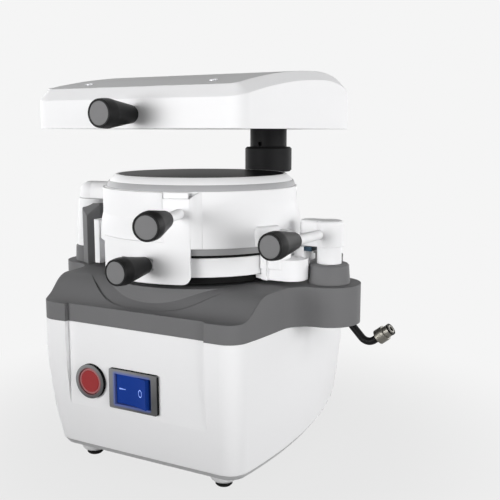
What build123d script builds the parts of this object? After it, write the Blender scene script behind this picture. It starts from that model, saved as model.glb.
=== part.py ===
"""Dental pressure former for a bench, as the assembly that its maker would build.

Sizes are millimetres. Z is up and +Y runs from the front panel to the back. While the pieces
are made, the datum is the middle of the round heating window's top face. At the end the whole
assembly is moved, so that its own origin is the middle of the underside of its bounding box.
"""
from build123d import *

import os
from math import cos, hypot, radians, sin, sqrt

os.makedirs("parts", exist_ok=True)

# Driving dimensions
FOIL_D = 125.0                   # standard round thermoforming foil, same size as the window
POST_X = 106.0                   # swing post on the left, clamp post on the right
COLUMN_Y = 112.7                 # rear column that carries the heater
RUN = 0.05                       # radial running clearance of shafts and pins
GAP = 0.4                        # clearance between parts that pass each other
WALL = 3.0
SKIN = 6.0                       # wall of the cast housing and of the deck's edge

# Heights from the window down to the bench
RIM_LOW = -9.0
FLARE_LOW = -47.5
HOLDER_LOW = -52.3
GASKET_LOW = -54.4
RING_HIGH = -54.7
RING_LOW = -68.0
SEAL_LOW = -73.5
DECK_Z = -75.0
LIP_Z = -90.0
HOUSING_TOP = -103.0
HOUSING_WAIST = -150.0
HOUSING_LOW = -196.0
PLATE_LOW = -200.0
CUP_LOW = -207.5
PAD_LOW = -211.5
HEAD_LOW = 33.0

# Radii about the window's axis
WINDOW_R = FOIL_D / 2
BODY_R = 72.6
FLARE_R = 77.0
BORE_R = 66.0
RING_R = 71.0
RING_FREE_R = RING_R + 0.8
THROAT_R = 57.0
BRACKET_OUT = 77.6
BRACKET_IN = 74.6
PLATFORM_R = 76.0
TROUGH_R = 84.5

# Housing plan: three points of the bowed side, the front's place and the corner radii
FRONT_TOP_Y = -93.0
FRONT_LOW_Y = -84.4
FRONT_CORNER = 14.5
REAR_Y = 140.0
REAR_CORNER = 32.0
PANEL_HALF = 58.0
PANEL_Y = -89.9
SIDE_TOP = ((84.0, -79.0), (90.0, -5.0), (78.4, 90.0))
SIDE_LOW = ((79.5, -67.6), (83.4, -17.4), (66.0, 110.4))
WAIST_SHARE = 0.17               # part of the whole draft that is reached at the waist
PLATE_BEVEL = 3.0
WING_R = 22.8
WING_BLEND = 19.0

PARTS = {}


def keep(name, *shapes):
    """Keep a node, either as one solid or as a group of separate solids."""
    PARTS[name] = [solid for shape in shapes for solid in shape.solids()]


def tube(r_out, r_in, z0, z1, x=0.0, y=0.0):
    """Upright tube, or a plain cylinder where r_in is nothing."""
    body = Pos(x, y, z0) * extrude(Circle(r_out), z1 - z0)
    if r_in:
        body -= Pos(x, y, z0 - 1) * extrude(Circle(r_in), z1 - z0 + 2)
    return body


def box(x0, x1, y0, y1, z0, z1):
    """Box between two corners."""
    return Pos((x0 + x1) / 2, (y0 + y1) / 2, (z0 + z1) / 2) * Box(x1 - x0, y1 - y0, z1 - z0)


def slab(x, half_w, y0, y1, z, half_h):
    """Box about a point of the front or rear wall."""
    return box(x - half_w, x + half_w, y0, y1, z - half_h, z + half_h)


def at(radius, angle):
    """Point at a radius and an angle in degrees about the window's axis."""
    return radius * cos(radians(angle)), radius * sin(radians(angle))


def sector(r_out, r_in, z0, z1, a0, a1):
    """Piece of an upright tube between two angles, less than a half turn apart."""
    mid = (a0 + a1) / 2
    outline = [Line(at(r_in, a0), at(r_out, a0)),
               ThreePointArc(at(r_out, a0), at(r_out, mid), at(r_out, a1)),
               Line(at(r_out, a1), at(r_in, a1)),
               ThreePointArc(at(r_in, a1), at(r_in, mid), at(r_in, a0))]
    return Pos(0, 0, z0) * extrude(make_face(outline), z1 - z0)


def profile(plane, *points):
    """Closed straight-sided section on a plane."""
    with BuildSketch(plane) as sketch:
        with BuildLine():
            Polyline(*points, close=True)
        make_face()
    return sketch.sketch


def turned(points, x=0.0, y=0.0):
    """Body of revolution about an upright axis, from (radius, height) points."""
    return Pos(x, y, 0) * revolve(profile(Plane.XZ, *points), Axis.Z)


def circle_through(p, q, r):
    """Centre and radius of the circle through three points."""
    ax, ay = q[0] - p[0], q[1] - p[1]
    bx, by = r[0] - p[0], r[1] - p[1]
    d = 2 * (ax * by - ay * bx)
    ux = (by * (ax * ax + ay * ay) - ay * (bx * bx + by * by)) / d
    uy = (ax * (bx * bx + by * by) - bx * (ax * ax + ay * ay)) / d
    return (p[0] + ux, p[1] + uy), hypot(ux, uy)


def toward(centre, radius, target):
    """Point on a circle in the direction of a target point."""
    length = hypot(target[0] - centre[0], target[1] - centre[1])
    scale = radius / length
    return centre[0] + (target[0] - centre[0]) * scale, centre[1] + (target[1] - centre[1]) * scale


def housing_half(side, front_y, inset, wing):
    """Right half of the housing's plan as a chain of tangent lines and arcs, front to rear."""
    centre, radius = circle_through(*side)
    radius -= inset
    front = front_y + inset
    rear = REAR_Y - inset
    r_front = FRONT_CORNER - inset
    r_rear = REAR_CORNER - inset

    def corner(y, r):
        """Centre of a corner arc inside the side arc, and its tangent point on the side."""
        x = centre[0] + sqrt((radius - r) ** 2 - (y - centre[1]) ** 2)
        scale = radius / (radius - r)
        return (x, y), (centre[0] + (x - centre[0]) * scale, centre[1] + (y - centre[1]) * scale)

    def bend(c, r, start, end):
        """Arc about a centre from one point to another, the short way."""
        middle = ((start[0] + end[0]) / 2, (start[1] + end[1]) / 2)
        return ThreePointArc(start, toward(c, r, middle), end)

    front_c, front_t = corner(front + r_front, r_front)
    rear_c, rear_t = corner(rear - r_rear, r_rear)
    chain = [Line((0, front), (front_c[0], front)),
             bend(front_c, r_front, (front_c[0], front), front_t)]
    last = front_t
    if wing:
        apart = hypot(POST_X - centre[0], centre[1])
        along = (apart**2 + (radius + WING_BLEND) ** 2 - (WING_R + WING_BLEND) ** 2) / (2 * apart)
        off = sqrt((radius + WING_BLEND) ** 2 - along**2)
        ux, uy = (POST_X - centre[0]) / apart, -centre[1] / apart
        middle = (centre[0] + ux * along, centre[1] + uy * along)
        before = (middle[0] + uy * off, middle[1] - ux * off)
        behind = (middle[0] - uy * off, middle[1] + ux * off)
        tip = (POST_X + WING_R, 0.0)
        leave, meet = [(toward(centre, radius, c), toward((POST_X, 0), WING_R, c)) for c in (before, behind)]
        chain += [bend(centre, radius, last, leave[0]),
                  bend(before, WING_BLEND, leave[0], leave[1]),
                  ThreePointArc(leave[1], tip, meet[1]),
                  bend(behind, WING_BLEND, meet[1], meet[0])]
        last = meet[0]
    chain += [bend(centre, radius, last, rear_t),
              bend(rear_c, r_rear, rear_t, (rear_c[0], rear)),
              Line((rear_c[0], rear), (0, rear))]
    return chain


def housing_plan(side, front_y, inset=0.0, wing=False):
    """Whole plan of the housing: the right half and its mirror image."""
    middle = Line((0, REAR_Y - inset), (0, front_y + inset))
    half = make_face([*housing_half(side, front_y, inset, wing), middle])
    return half, mirror(half, Plane.YZ)


# Switch, button and inlet places on the housing
SWITCH_X = -0.2
SWITCH_Z = -146.2
SWITCH_W = 40.6
SWITCH_H = 28.4
SWITCH_BODY = (16.9, 12.0)       # half width and half height of what goes through the panel
BUTTON_X = -37.8
BUTTON_Z = -144.6
BUTTON_HOLE_R = 10.5
INLET_Z = -150.0
INLET_W = 27.6
INLET_H = 20.0
FUSE_Z = -122.0
FUSE_R = 6.2


def between(share):
    """Side points and front place at a share of the draft from the top edge to the low edge."""
    side = [tuple(a + (b - a) * share for a, b in zip(p, q)) for p, q in zip(SIDE_TOP, SIDE_LOW)]
    return side, FRONT_TOP_Y + (FRONT_LOW_Y - FRONT_TOP_Y) * share


def housing_form(inset, over):
    """Housing form whose draft grows towards the foot, as two halves that meet in the middle."""
    levels = ((HOUSING_LOW - over, 1.0), (HOUSING_WAIST, WAIST_SHARE), (HOUSING_TOP + over, 0.0))
    plans = [(z, housing_plan(*between(share), inset)) for z, share in levels]
    halves = [loft([Pos(0, 0, z) * plan[i] for z, plan in plans]) for i in (0, 1)]
    return halves[0] + halves[1]


def make_housing():
    """White housing: a drafted shell with a recessed centre panel and its cut-outs."""
    shell = housing_form(0.0, 0.0)
    shell -= housing_form(SKIN, 0.01)
    shell -= box(-PANEL_HALF, PANEL_HALF, FRONT_TOP_Y - 1, PANEL_Y, HOUSING_LOW - 1, HOUSING_TOP + 1)
    half_w, half_h = SWITCH_BODY
    shell -= slab(SWITCH_X, half_w, PANEL_Y - 1, PANEL_Y + 12, SWITCH_Z, half_h)
    shell -= Pos(BUTTON_X, PANEL_Y - 1, BUTTON_Z) * Rot(-90, 0, 0) * extrude(Circle(BUTTON_HOLE_R), 12)
    shell -= slab(0, INLET_W / 2, REAR_Y - 10, REAR_Y + 1, INLET_Z, INLET_H / 2)
    shell -= Pos(0, REAR_Y + 1, FUSE_Z) * Rot(90, 0, 0) * extrude(Circle(FUSE_R), 12)
    return shell


# Deck cover

CUP_R = 58.0
CUP_FLANGE_R = 67.0
CUP_FLANGE = 2.5
DECK_SKIN = 4.0
SLOPE_FOOT = (-89.0, LIP_Z)
SLOPE_KNEE = (-72.5, -82.0)
SLOPE_CREST = (-56.0, DECK_Z)
TROUGH_BACK = 1.5
DECK_ROOM_Y = -48.0


def above_slope(shift):
    """Space over the deck's falling front, drawn in the YZ plane; shift moves the slope back."""
    foot = (SLOPE_FOOT[0] + shift, SLOPE_FOOT[1])
    knee = (SLOPE_KNEE[0] + shift, SLOPE_KNEE[1])
    crest = (SLOPE_CREST[0] + shift / 2, SLOPE_CREST[1])
    front, high = -110.0, DECK_Z + 20
    with BuildSketch(Plane.YZ) as sketch:
        with BuildLine():
            Line((front, LIP_Z), foot)
            Spline(foot, knee, crest, tangents=[(1, 0), (1, 0)])
            Polyline(crest, (crest[0], high), (front, high), (front, LIP_Z))
        make_face()
    return extrude(sketch.sketch, 140, both=True)


def make_deck():
    """Grey deck cover: wings for both posts, S-shaped fall to the front lip, round platform."""
    halves = housing_plan(SIDE_TOP, FRONT_TOP_Y, wing=True)
    blank = extrude(halves[0], DECK_Z - HOUSING_TOP) + extrude(halves[1], DECK_Z - HOUSING_TOP)
    deck = Pos(0, 0, HOUSING_TOP) * blank - above_slope(0.0)
    trough = tube(TROUGH_R, 0, LIP_Z - 1.0, DECK_Z + 1)
    deck -= trough & above_slope(TROUGH_BACK)
    deck += tube(PLATFORM_R, 0, HOUSING_TOP, DECK_Z)
    deck -= box(-PANEL_HALF, PANEL_HALF, FRONT_TOP_Y - 1, PANEL_Y, HOUSING_TOP - 1, LIP_Z + 1)
    inner = housing_plan(SIDE_TOP, FRONT_TOP_Y, SKIN)
    room = Pos(0, 0, HOUSING_TOP) * (extrude(inner[0], 40) + extrude(inner[1], 40))
    deck -= room & box(-120, 120, -120, 150, HOUSING_TOP - 1, LIP_Z - DECK_SKIN)
    deck -= room & box(-120, 120, DECK_ROOM_Y, 150, HOUSING_TOP - 1, DECK_Z - DECK_SKIN)
    deck -= tube(CUP_R + 0.5, 0, HOUSING_TOP - 1, DECK_Z + 1)
    deck -= tube(CUP_FLANGE_R, 0, DECK_Z - CUP_FLANGE, DECK_Z + 1)
    return deck


# Model cup sunk in the deck, with its perforated platform

CUP_FLOOR = DECK_Z - 50.0
CUP_WALL = 3.0
PLATFORM_TOP = DECK_Z - 42.0
PLATFORM_T = 3.0
VENT_R = 2.2
VENT_RINGS = ((14.0, 6), (27.0, 10), (40.0, 14))


def make_cup():
    """Deep cup with a flange that lies flush in the deck."""
    low, seat = CUP_FLOOR - CUP_WALL, DECK_Z - CUP_FLANGE
    inner = CUP_R - CUP_WALL
    return turned([(0, low), (CUP_R, low), (CUP_R, seat), (CUP_FLANGE_R, seat), (CUP_FLANGE_R, DECK_Z),
                   (inner, DECK_Z), (inner, CUP_FLOOR), (0, CUP_FLOOR)])


def make_platform():
    """Perforated plate on a short foot ring, so that air leaves under the model."""
    plate = tube(52.0, 0, PLATFORM_TOP - PLATFORM_T, PLATFORM_TOP)
    foot = tube(50.0, 46.0, CUP_FLOOR, PLATFORM_TOP - PLATFORM_T)
    for ring, count in VENT_RINGS:
        for i in range(count):
            x, y = at(ring, 360 * i / count)
            plate -= tube(VENT_R, 0, PLATFORM_TOP - PLATFORM_T - 1, PLATFORM_TOP + 1, x, y)
    return plate + foot


# Handles: one grip for every lever

GRIP_LEN = 35.0
ROD_R = 3.5
ROD_BED = 22.0
DISC_R = 7.4
DISC_SINK = 0.4
DISC_T = 1.6


def make_grip():
    """Moulded grip along +Z: rounded root, straight taper to the widest place, rounded end."""
    with BuildSketch(Plane.XZ) as sketch:
        with BuildLine():
            Line((0, 0), (2.3, 0))
            ThreePointArc((2.3, 0), (4.9, 1.1), (6.0, 3.8))
            Line((6.0, 3.8), (9.3, 26.0))
            Spline((9.3, 26.0), (9.35, 29.5), (8.9, 33.8), tangents=[(0.148, 1), (-0.2, 1)])
            ThreePointArc((8.9, 33.8), (8.73, 34.6), (8.3, GRIP_LEN))
            Polyline((8.3, GRIP_LEN), (0, GRIP_LEN), (0, 0))
        make_face()
    return revolve(sketch.sketch, Axis.Z)


def handle(root, direction, bare, inner):
    """Rod, grip and end disc that leave a root point in a direction, as three placed solids."""
    place = Plane(origin=root, z_dir=direction)
    seat = bare + GRIP_LEN - DISC_SINK - DISC_T
    rod = Pos(0, 0, -inner) * extrude(Circle(ROD_R), inner + bare + ROD_BED)
    pocket = Pos(0, 0, seat) * extrude(Circle(DISC_R), DISC_T + 1)
    disc = Pos(0, 0, seat) * extrude(Circle(DISC_R), DISC_T)
    grip = Pos(0, 0, bare) * make_grip() - rod - pocket
    return place * rod, place * grip, place * disc


def keep_handle(prefix, rod, grip, disc):
    """Keep the three pieces of a handle under one prefix."""
    keep(prefix + "_rod", rod)
    keep(prefix + "_grip", grip)
    keep(prefix + "_grip_disc", disc)


# Chamber

SWING_ARM_LOW = -22.8
SWING_ARM_TOP = -9.5
KNUCKLE_R = 10.8
ARM_HALF = 10.0
PIN_R = 6.0
BRACKET_LOW = -72.0
BRACKET_SPLIT = -43.0
BRACKET_TOP = -13.3
BRACKET_ANGLES = (-124.0, -78.0, -64.0)
LEDGE_R = 76.0
SLOT_ANGLES = (-104.5, -84.0)
SLOT_HEIGHTS = (-63.0, -55.1)


def make_shell():
    """Chamber body: straight neck, swelling flank and broad lower edge, turned in one piece."""
    inner = THROAT_R + 1
    with BuildSketch(Plane.XZ) as sketch:
        with BuildLine():
            Polyline((inner, RIM_LOW), (BODY_R, RIM_LOW), (BODY_R, -18.0))
            Spline((BODY_R, -18.0), (75.4, -31.0), (FLARE_R, FLARE_LOW), tangents=[(0, -1), (0.05, -1)])
            Polyline((FLARE_R, FLARE_LOW), (BORE_R, FLARE_LOW), (BORE_R, RIM_LOW - 11),
                     (inner, RIM_LOW - 5), (inner, RIM_LOW))
        make_face()
    return revolve(sketch.sketch, Axis.Z)


def make_swing_arm():
    """Arm from the chamber's flank to a domed knuckle on the left post."""
    knuckle = tube(KNUCKLE_R, 0, SWING_ARM_LOW, SWING_ARM_TOP, -POST_X, 0)
    web = box(-POST_X, -66.0, -ARM_HALF, ARM_HALF, SWING_ARM_LOW, SWING_ARM_TOP)
    arm = knuckle + web
    arm = fillet(arm.edges().group_by(Axis.Z)[-1].filter_by(lambda e: e.center().X < -74), 8.0)
    arm -= tube(BODY_R - 2.0, 0, SWING_ARM_LOW - 1, SWING_ARM_TOP + 1)
    return arm - tube(PIN_R + RUN, 0, SWING_ARM_LOW - 1, SWING_ARM_LOW + 9.0, -POST_X, 0)


def make_bracket():
    """Curved front bracket with a stepped upper edge and the slot for the ring's lever."""
    left, step, right = BRACKET_ANGLES
    body = sector(BRACKET_OUT, BRACKET_IN, BRACKET_LOW, BRACKET_SPLIT, left, right)
    body += sector(BRACKET_OUT, BRACKET_IN, BRACKET_SPLIT, BRACKET_TOP, step, right)
    corners = body.edges().filter_by(lambda e: abs(e.center().Z - BRACKET_LOW) < 0.1 and e.length < 4)
    body = fillet(corners, 6.0)
    body += sector(LEDGE_R, BRACKET_IN, BRACKET_TOP, RIM_LOW - 0.2, step, right - 1.0)
    return body - sector(BRACKET_OUT + 2, BRACKET_IN - 2, *SLOT_HEIGHTS, *SLOT_ANGLES)


JAW_LIP = (-71.5, RING_LOW - GAP)
LEFT_JAW_HALF = 14.0
RIGHT_JAW_HALF = 23.0
POST_SWING_R = 29.7
WEAR_TOP = -49.5
WEAR_LOW = -52.6
WEAR_HALF = 8.5
LUG_EDGE = 90.0
LUG_PLATE = (-61.0, -57.0)


def jaw_ring(middle, half):
    """Band on the chamber's flank with a lip that reaches under the foil ring."""
    band = sector(BRACKET_OUT, RING_FREE_R, BRACKET_LOW, FLARE_LOW, middle - half, middle + half)
    return band + sector(BRACKET_OUT, BORE_R, *JAW_LIP, middle - half, middle + half)


def make_left_jaw():
    """Left jaw: a narrow nose that stands off the chamber and clears the swing post."""
    nose = box(-84.0, -77.5, -29.0, -12.0, BRACKET_LOW, -37.5)
    nose = fillet(nose.edges().filter_by(Axis.Z).group_by(Axis.X)[0], 3.0)
    nose += box(-79.0, -72.0, -17.0, -12.0, BRACKET_LOW, -39.0)
    nose -= tube(POST_SWING_R, 0, BRACKET_LOW - 1, 0, -POST_X, 0)
    nose -= tube(RING_FREE_R, 0, BRACKET_LOW - 1, 0)
    return jaw_ring(180.0, LEFT_JAW_HALF) + nose


def make_right_jaw():
    """Right jaw: upper nose, broad block in front of the clamp, and the lug that is pressed."""
    nose = box(62.8, 84.0, -29.0, -13.0, BRACKET_LOW + 8, -37.2)
    nose = fillet(nose.edges().filter_by(Axis.Z).group_by(Axis.X)[-1], 5.0)
    block = box(67.5, 95.0, -28.0, -11.6, BRACKET_LOW, LUG_PLATE[1])
    block = fillet(block.edges().filter_by(Axis.Z).sort_by(lambda e: e.center().X - e.center().Y)[-1], 11.0)
    block = fillet(block.edges().filter_by(Axis.Y).group_by(Axis.X)[0].sort_by(Axis.Z)[0], 3.3)
    plate = box(70.0, LUG_EDGE, -12.0, 12.0, *LUG_PLATE)
    rib = box(70.0, 88.0, -7.0, 7.0, LUG_PLATE[0] - 5, LUG_PLATE[0])
    lug = box(82.6, LUG_EDGE, -WEAR_HALF, WEAR_HALF, LUG_PLATE[1], WEAR_TOP)
    body = nose + block + plate + rib + lug - tube(RING_FREE_R, 0, BRACKET_LOW - 1, 0)
    return jaw_ring(0.0, RIGHT_JAW_HALF) + body


# Heater head

HEAD_HALF = 83.3
HEAD_FRONT = -90.0
HEAD_REAR = 138.0
HEAD_CORNER = 13.5
HEAD_REAR_R = 60.0
HEAD_BEVEL = 6.7
CROWN_FRONT = (-94.0, 58.0)
CROWN_RISE = (-28.0, 70.0)
CROWN_TOP = (40.0, 75.6)
CROWN_REAR = (145.0, 47.0)


def head_plan(inset):
    """Plan of the heater head: square sides, small front corners and a broad round rear."""
    x, y0, y1 = HEAD_HALF - inset, HEAD_FRONT + inset, HEAD_REAR - inset
    r0, r1 = HEAD_CORNER - inset, HEAD_REAR_R - inset
    slant = 1 - sqrt(0.5)
    right = [Line((0, y0), (x - r0, y0)),
             ThreePointArc((x - r0, y0), (x - r0 * slant, y0 + r0 * slant), (x, y0 + r0)),
             Line((x, y0 + r0), (x, y1 - r1)),
             ThreePointArc((x, y1 - r1), (x - r1 * slant, y1 - r1 * slant), (x - r1, y1)),
             Line((x - r1, y1), (0, y1))]
    half = make_face([*right, Line((0, y1), (0, y0))])
    return half + mirror(half, Plane.YZ)


def head_form(inset):
    """Outside of the heater cover, or its inside where inset is the wall."""
    tall = 60.0
    body = Pos(0, 0, HEAD_LOW) * extrude(head_plan(inset), tall)
    crown = (CROWN_FRONT, CROWN_RISE, CROWN_TOP, CROWN_REAR)
    front, rise, top, rear = [(y, z - inset) for y, z in crown]
    over = HEAD_LOW + 2 * tall
    with BuildSketch(Plane.YZ) as sketch:
        with BuildLine():
            climb = ThreePointArc(front, rise, top)
            TangentArc(top, rear, tangent=climb % 1)
            Polyline(rear, (rear[0], over), (front[0], over), front)
        make_face()
    body -= extrude(sketch.sketch, 120, both=True)
    upper = [edge for face in body.faces() if face.normal_at(face.center()).Z > 0.5 for edge in face.edges()]
    rim = [edge for edge in upper if sum(other.is_same(edge) for other in upper) == 1]
    return chamfer(rim, HEAD_BEVEL - 0.6 * inset)


# Assembly: housing and what it carries

def make_plate():
    """Bottom plate whose edge is bevelled inward."""
    low = housing_plan(SIDE_LOW, FRONT_LOW_Y, PLATE_BEVEL)
    top = housing_plan(SIDE_LOW, FRONT_LOW_Y)
    halves = [loft([Pos(0, 0, PLATE_LOW) * a, Pos(0, 0, HOUSING_LOW) * b]) for a, b in zip(low, top)]
    return halves[0] + halves[1]


FEET = ((-57.0, -66.0), (57.0, -66.0), (-48.0, 100.0), (48.0, 100.0))
CUP_FOOT_R = 9.3
PAD_R = 6.0
PLATE_SCREWS = ((-68.0, -30.0), (68.0, -30.0), (-66.0, 40.0), (66.0, 40.0))
FLANGE_TOP = DECK_Z + 6.0
FLANGE_R = 26.0
FLANGE_SCREW_R = 20.0
SCREW_HEAD_R = 3.6
SCREW_HEAD_T = 2.6
SOCKET_R = 1.7
SOCKET_DEEP = 1.5


def cap_screw(x, y, z, up):
    """Low cap screw head with its hexagon socket, its head above or below a face."""
    socket = Pos(0, 0, SCREW_HEAD_T - SOCKET_DEEP) * extrude(RegularPolygon(SOCKET_R, 6), SOCKET_DEEP + 1)
    head = extrude(Circle(SCREW_HEAD_R), SCREW_HEAD_T) - socket
    return Pos(x, y, z) * (head if up else Rot(180, 0, 0) * head)


def foot(r, bevel, z0, z1, x, y):
    """Round foot with a bevelled lower edge."""
    return turned([(0, z0), (r - bevel, z0), (r, z0 + bevel), (r, z1), (0, z1)], x, y)


PIPE_R = 2.75
PIPE_ROUTE = ((113.0, 10.0, -99.2), (132.5, 10.0, -120.0), (144.5, 10.0, -110.6))
PIPE_BEND = 7.0
FITTING_R = 4.25
FITTING_LEN = 5.3
FITTING_BORE = 2.0
FITTING_STEP = 1.6
CUFF_R = 5.5
CUFF_LEN = 5.0


def air_pipe_parts():
    """Bent steel pipe under the right wing and the cuffed fitting on its end."""
    line = FilletPolyline(*PIPE_ROUTE, radius=PIPE_BEND)
    pipe = sweep(Plane(origin=line @ 0, z_dir=line % 0) * Circle(PIPE_R), path=line)
    tip = Plane(origin=line @ 1, z_dir=line % 1)
    fitting = tube(CUFF_R, PIPE_R, -CUFF_LEN, 0) + tube(CUFF_R, 0, 0, FITTING_STEP)
    fitting += tube(FITTING_R, 0, FITTING_STEP, FITTING_STEP + FITTING_LEN)
    fitting -= tube(FITTING_BORE, 0, 1.0, FITTING_STEP + FITTING_LEN + 1)
    return pipe, tip * fitting


COLLAR_TOP = -61.3
LEFT_COLLAR_TOP = -62.0
POST_FOOT_R = 14.4
POST_PROFILE = ((POST_FOOT_R, DECK_Z), (POST_FOOT_R, -57.0), (13.65, -42.0), (11.9, SWING_ARM_LOW - 0.3))
SPINDLE_R = 8.0
NECK_R = 8.75
STEM_LOW = -96.0


def post_collar(x, bore, foot_r, top_r, top):
    """Tapered collar that stands on a wing round a post, its upper edge bevelled."""
    return turned([(bore, DECK_Z), (foot_r, DECK_Z), (top_r, top - 1.0), (top_r - 1.0, top), (bore, top)], x, 0)


GUARD_TOP = -26.5
GUARD_CLEAR_R = 16.6
GUARD_PLAN = ((-88.9, -13.4), (-95.0, -22.7), (-104.0, -17.3), (-104.0, -8.0), (-88.9, -4.0))
GUARD_FALL_Y = -13.2


def make_guard():
    """Upright guard in front of the swing post: a ridge in plan, cut off at a slant, hollow behind."""
    outline = Polyline(*GUARD_PLAN, close=True)
    body = Pos(0, 0, DECK_Z) * extrude(make_face(outline), GUARD_TOP - DECK_Z)
    body -= tube(GUARD_CLEAR_R, 0, DECK_Z - 1, GUARD_TOP + 1, -POST_X, 0)
    run = 20.0
    above = profile(Plane.YZ, (GUARD_FALL_Y, GUARD_TOP), (GUARD_FALL_Y - run, GUARD_TOP - run),
                    (GUARD_FALL_Y - run, GUARD_TOP + 5), (GUARD_FALL_Y, GUARD_TOP + 5))
    return body - extrude(above, 140, both=True)


deck = make_deck()
pipe, fitting = air_pipe_parts()
deck -= pipe
deck -= tube(SPINDLE_R + RUN, 0, STEM_LOW - 2, DECK_Z + 1, POST_X, 0)
keep("base_housing", make_housing())
keep("base_plate", make_plate())
keep("foot_cups", *[foot(CUP_FOOT_R, 1.5, CUP_LOW, PLATE_LOW, x, y) for x, y in FEET])
keep("foot_pads", *[foot(PAD_R, 1.0, PAD_LOW, CUP_LOW, x, y) for x, y in FEET])
keep("deck_cover", deck)
keep("model_cup", make_cup())
keep("model_platform", make_platform())
keep("air_pipe", pipe)
keep("air_fitting", fitting)
keep("post_collars", post_collar(-POST_X, POST_FOOT_R + RUN, 16.2, 15.7, LEFT_COLLAR_TOP),
     post_collar(POST_X, SPINDLE_R + RUN, 15.2, 14.2, COLLAR_TOP))
pin_top = SWING_ARM_LOW + 8.4
post_points = [(0, DECK_Z), *POST_PROFILE, (PIN_R, POST_PROFILE[-1][1]), (PIN_R, pin_top), (0, pin_top)]
keep("swing_post", turned(post_points, -POST_X, 0))
keep("post_guard", make_guard())

# Assembly: rear column

COLUMN_R = 12.5
SPIGOT_R = 8.0
SPIGOT_TOP = 46.0
SHOULDER = 12.0
COLLAR_LOW = -3.9
COLLAR_HIGH = 17.7
COLLAR_R = 20.65
COLLAR_EDGE = 1.5
SHAFT_R = 16.2
SHAFT_LOW = COLLAR_HIGH + 0.3
BUSH_R = 10.0
HUB_R = 21.5
HUB_T = 3.6
SET_SCREW_R = 2.0
SET_SCREW_Z = 20.4
UNDER_Z = HEAD_LOW + 2.2
PLATE_T = 1.5
HUB_LOW = UNDER_Z + PLATE_T

bore = COLUMN_R + RUN
spigot_bore = SPIGOT_R + RUN
keep("column_flange", turned([(bore, DECK_Z), (FLANGE_R, DECK_Z), (FLANGE_R, FLANGE_TOP - 1),
                              (FLANGE_R - 1, FLANGE_TOP), (bore, FLANGE_TOP)], 0, COLUMN_Y))
keep("column_post", turned([(0, DECK_Z), (COLUMN_R, DECK_Z), (COLUMN_R, SHOULDER), (SPIGOT_R, SHOULDER),
                            (SPIGOT_R, SPIGOT_TOP), (0, SPIGOT_TOP)], 0, COLUMN_Y))
keep("column_collar", turned([(bore, COLLAR_LOW), (COLLAR_R - COLLAR_EDGE, COLLAR_LOW),
                              (COLLAR_R, COLLAR_LOW + COLLAR_EDGE), (COLLAR_R, COLLAR_HIGH - COLLAR_EDGE),
                              (COLLAR_R - COLLAR_EDGE, COLLAR_HIGH), (spigot_bore, COLLAR_HIGH),
                              (spigot_bore, SHOULDER), (bore, SHOULDER)], 0, COLUMN_Y))
shaft = turned([(BUSH_R, SHAFT_LOW), (SHAFT_R, SHAFT_LOW), (SHAFT_R, HUB_LOW), (HUB_R, HUB_LOW),
                (HUB_R, HUB_LOW + HUB_T), (SHAFT_R, HUB_LOW + HUB_T), (SHAFT_R, SPIGOT_TOP + 3),
                (0, SPIGOT_TOP + 3), (0, SPIGOT_TOP + 1), (BUSH_R, SPIGOT_TOP + 1)], 0, COLUMN_Y)
shaft -= Pos(0, COLUMN_Y - SHAFT_R + 4, SET_SCREW_Z) * Rot(90, 0, 0) * extrude(Circle(SET_SCREW_R), 6)
keep("column_shaft", shaft)
keep("column_bush", tube(BUSH_R, spigot_bore, COLLAR_HIGH + 0.6, SPIGOT_TOP, 0, COLUMN_Y))
screws = [cap_screw(x, y, PLATE_LOW, False) for x, y in PLATE_SCREWS]
for angle in (45, 135, 225, 315):
    x, y = at(FLANGE_SCREW_R, angle)
    screws.append(cap_screw(x, COLUMN_Y + y, FLANGE_TOP, True))
keep("cap_screws", *screws)

# Assembly: heater head

GLOW_R = 68.0
REFLECTOR_TOP = 55.0
ELEMENT_Z = 43.0
ELEMENT_R = 3.0
ELEMENT_RINGS = (16.0, 32.0, 48.0)
WIRE_HALF = 0.8
WIRE_T = 1.8
cover = head_form(0.0) - Pos(0, 0, -0.02) * head_form(WALL)
rod, grip, disc = handle((4.3, HEAD_FRONT, 42.3), (0, -1, 0), 0.0, 6.0)
keep("heater_cover", cover - rod)
keep_handle("heater", rod, grip, disc)
under = Pos(0, 0, UNDER_Z) * extrude(head_plan(WALL + 0.2), PLATE_T)
under -= tube(GLOW_R, 0, UNDER_Z - 1, UNDER_Z + 4)
under -= tube(SHAFT_R, 0, UNDER_Z - 1, UNDER_Z + 4, 0, COLUMN_Y)
keep("heater_base", under)
dish_z = UNDER_Z + PLATE_T
keep("heater_reflector", turned([(GLOW_R - 2, dish_z), (GLOW_R + 4, dish_z), (GLOW_R + 4, dish_z + 1),
                                 (GLOW_R - 1, dish_z + 1), (58, REFLECTOR_TOP - 3), (0, REFLECTOR_TOP),
                                 (0, REFLECTOR_TOP - 1), (57.4, REFLECTOR_TOP - 4), (GLOW_R - 2, dish_z + 0.6)]))
keep("heating_rings", *[Pos(0, 0, ELEMENT_Z) * Torus(r, ELEMENT_R) for r in ELEMENT_RINGS])
grille = tube(GLOW_R + 2, GLOW_R - 2, UNDER_Z - WIRE_T, UNDER_Z)
for r in (22.0, 44.0):
    grille += tube(r + WIRE_HALF, r - WIRE_HALF, UNDER_Z - WIRE_T, UNDER_Z)
for angle in (0, 60, 120):
    grille += Rot(0, 0, angle) * box(-GLOW_R, GLOW_R, -WIRE_HALF, WIRE_HALF, UNDER_Z - WIRE_T, UNDER_Z)
keep("heater_grille", grille)

# Assembly: pressure chamber

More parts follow.
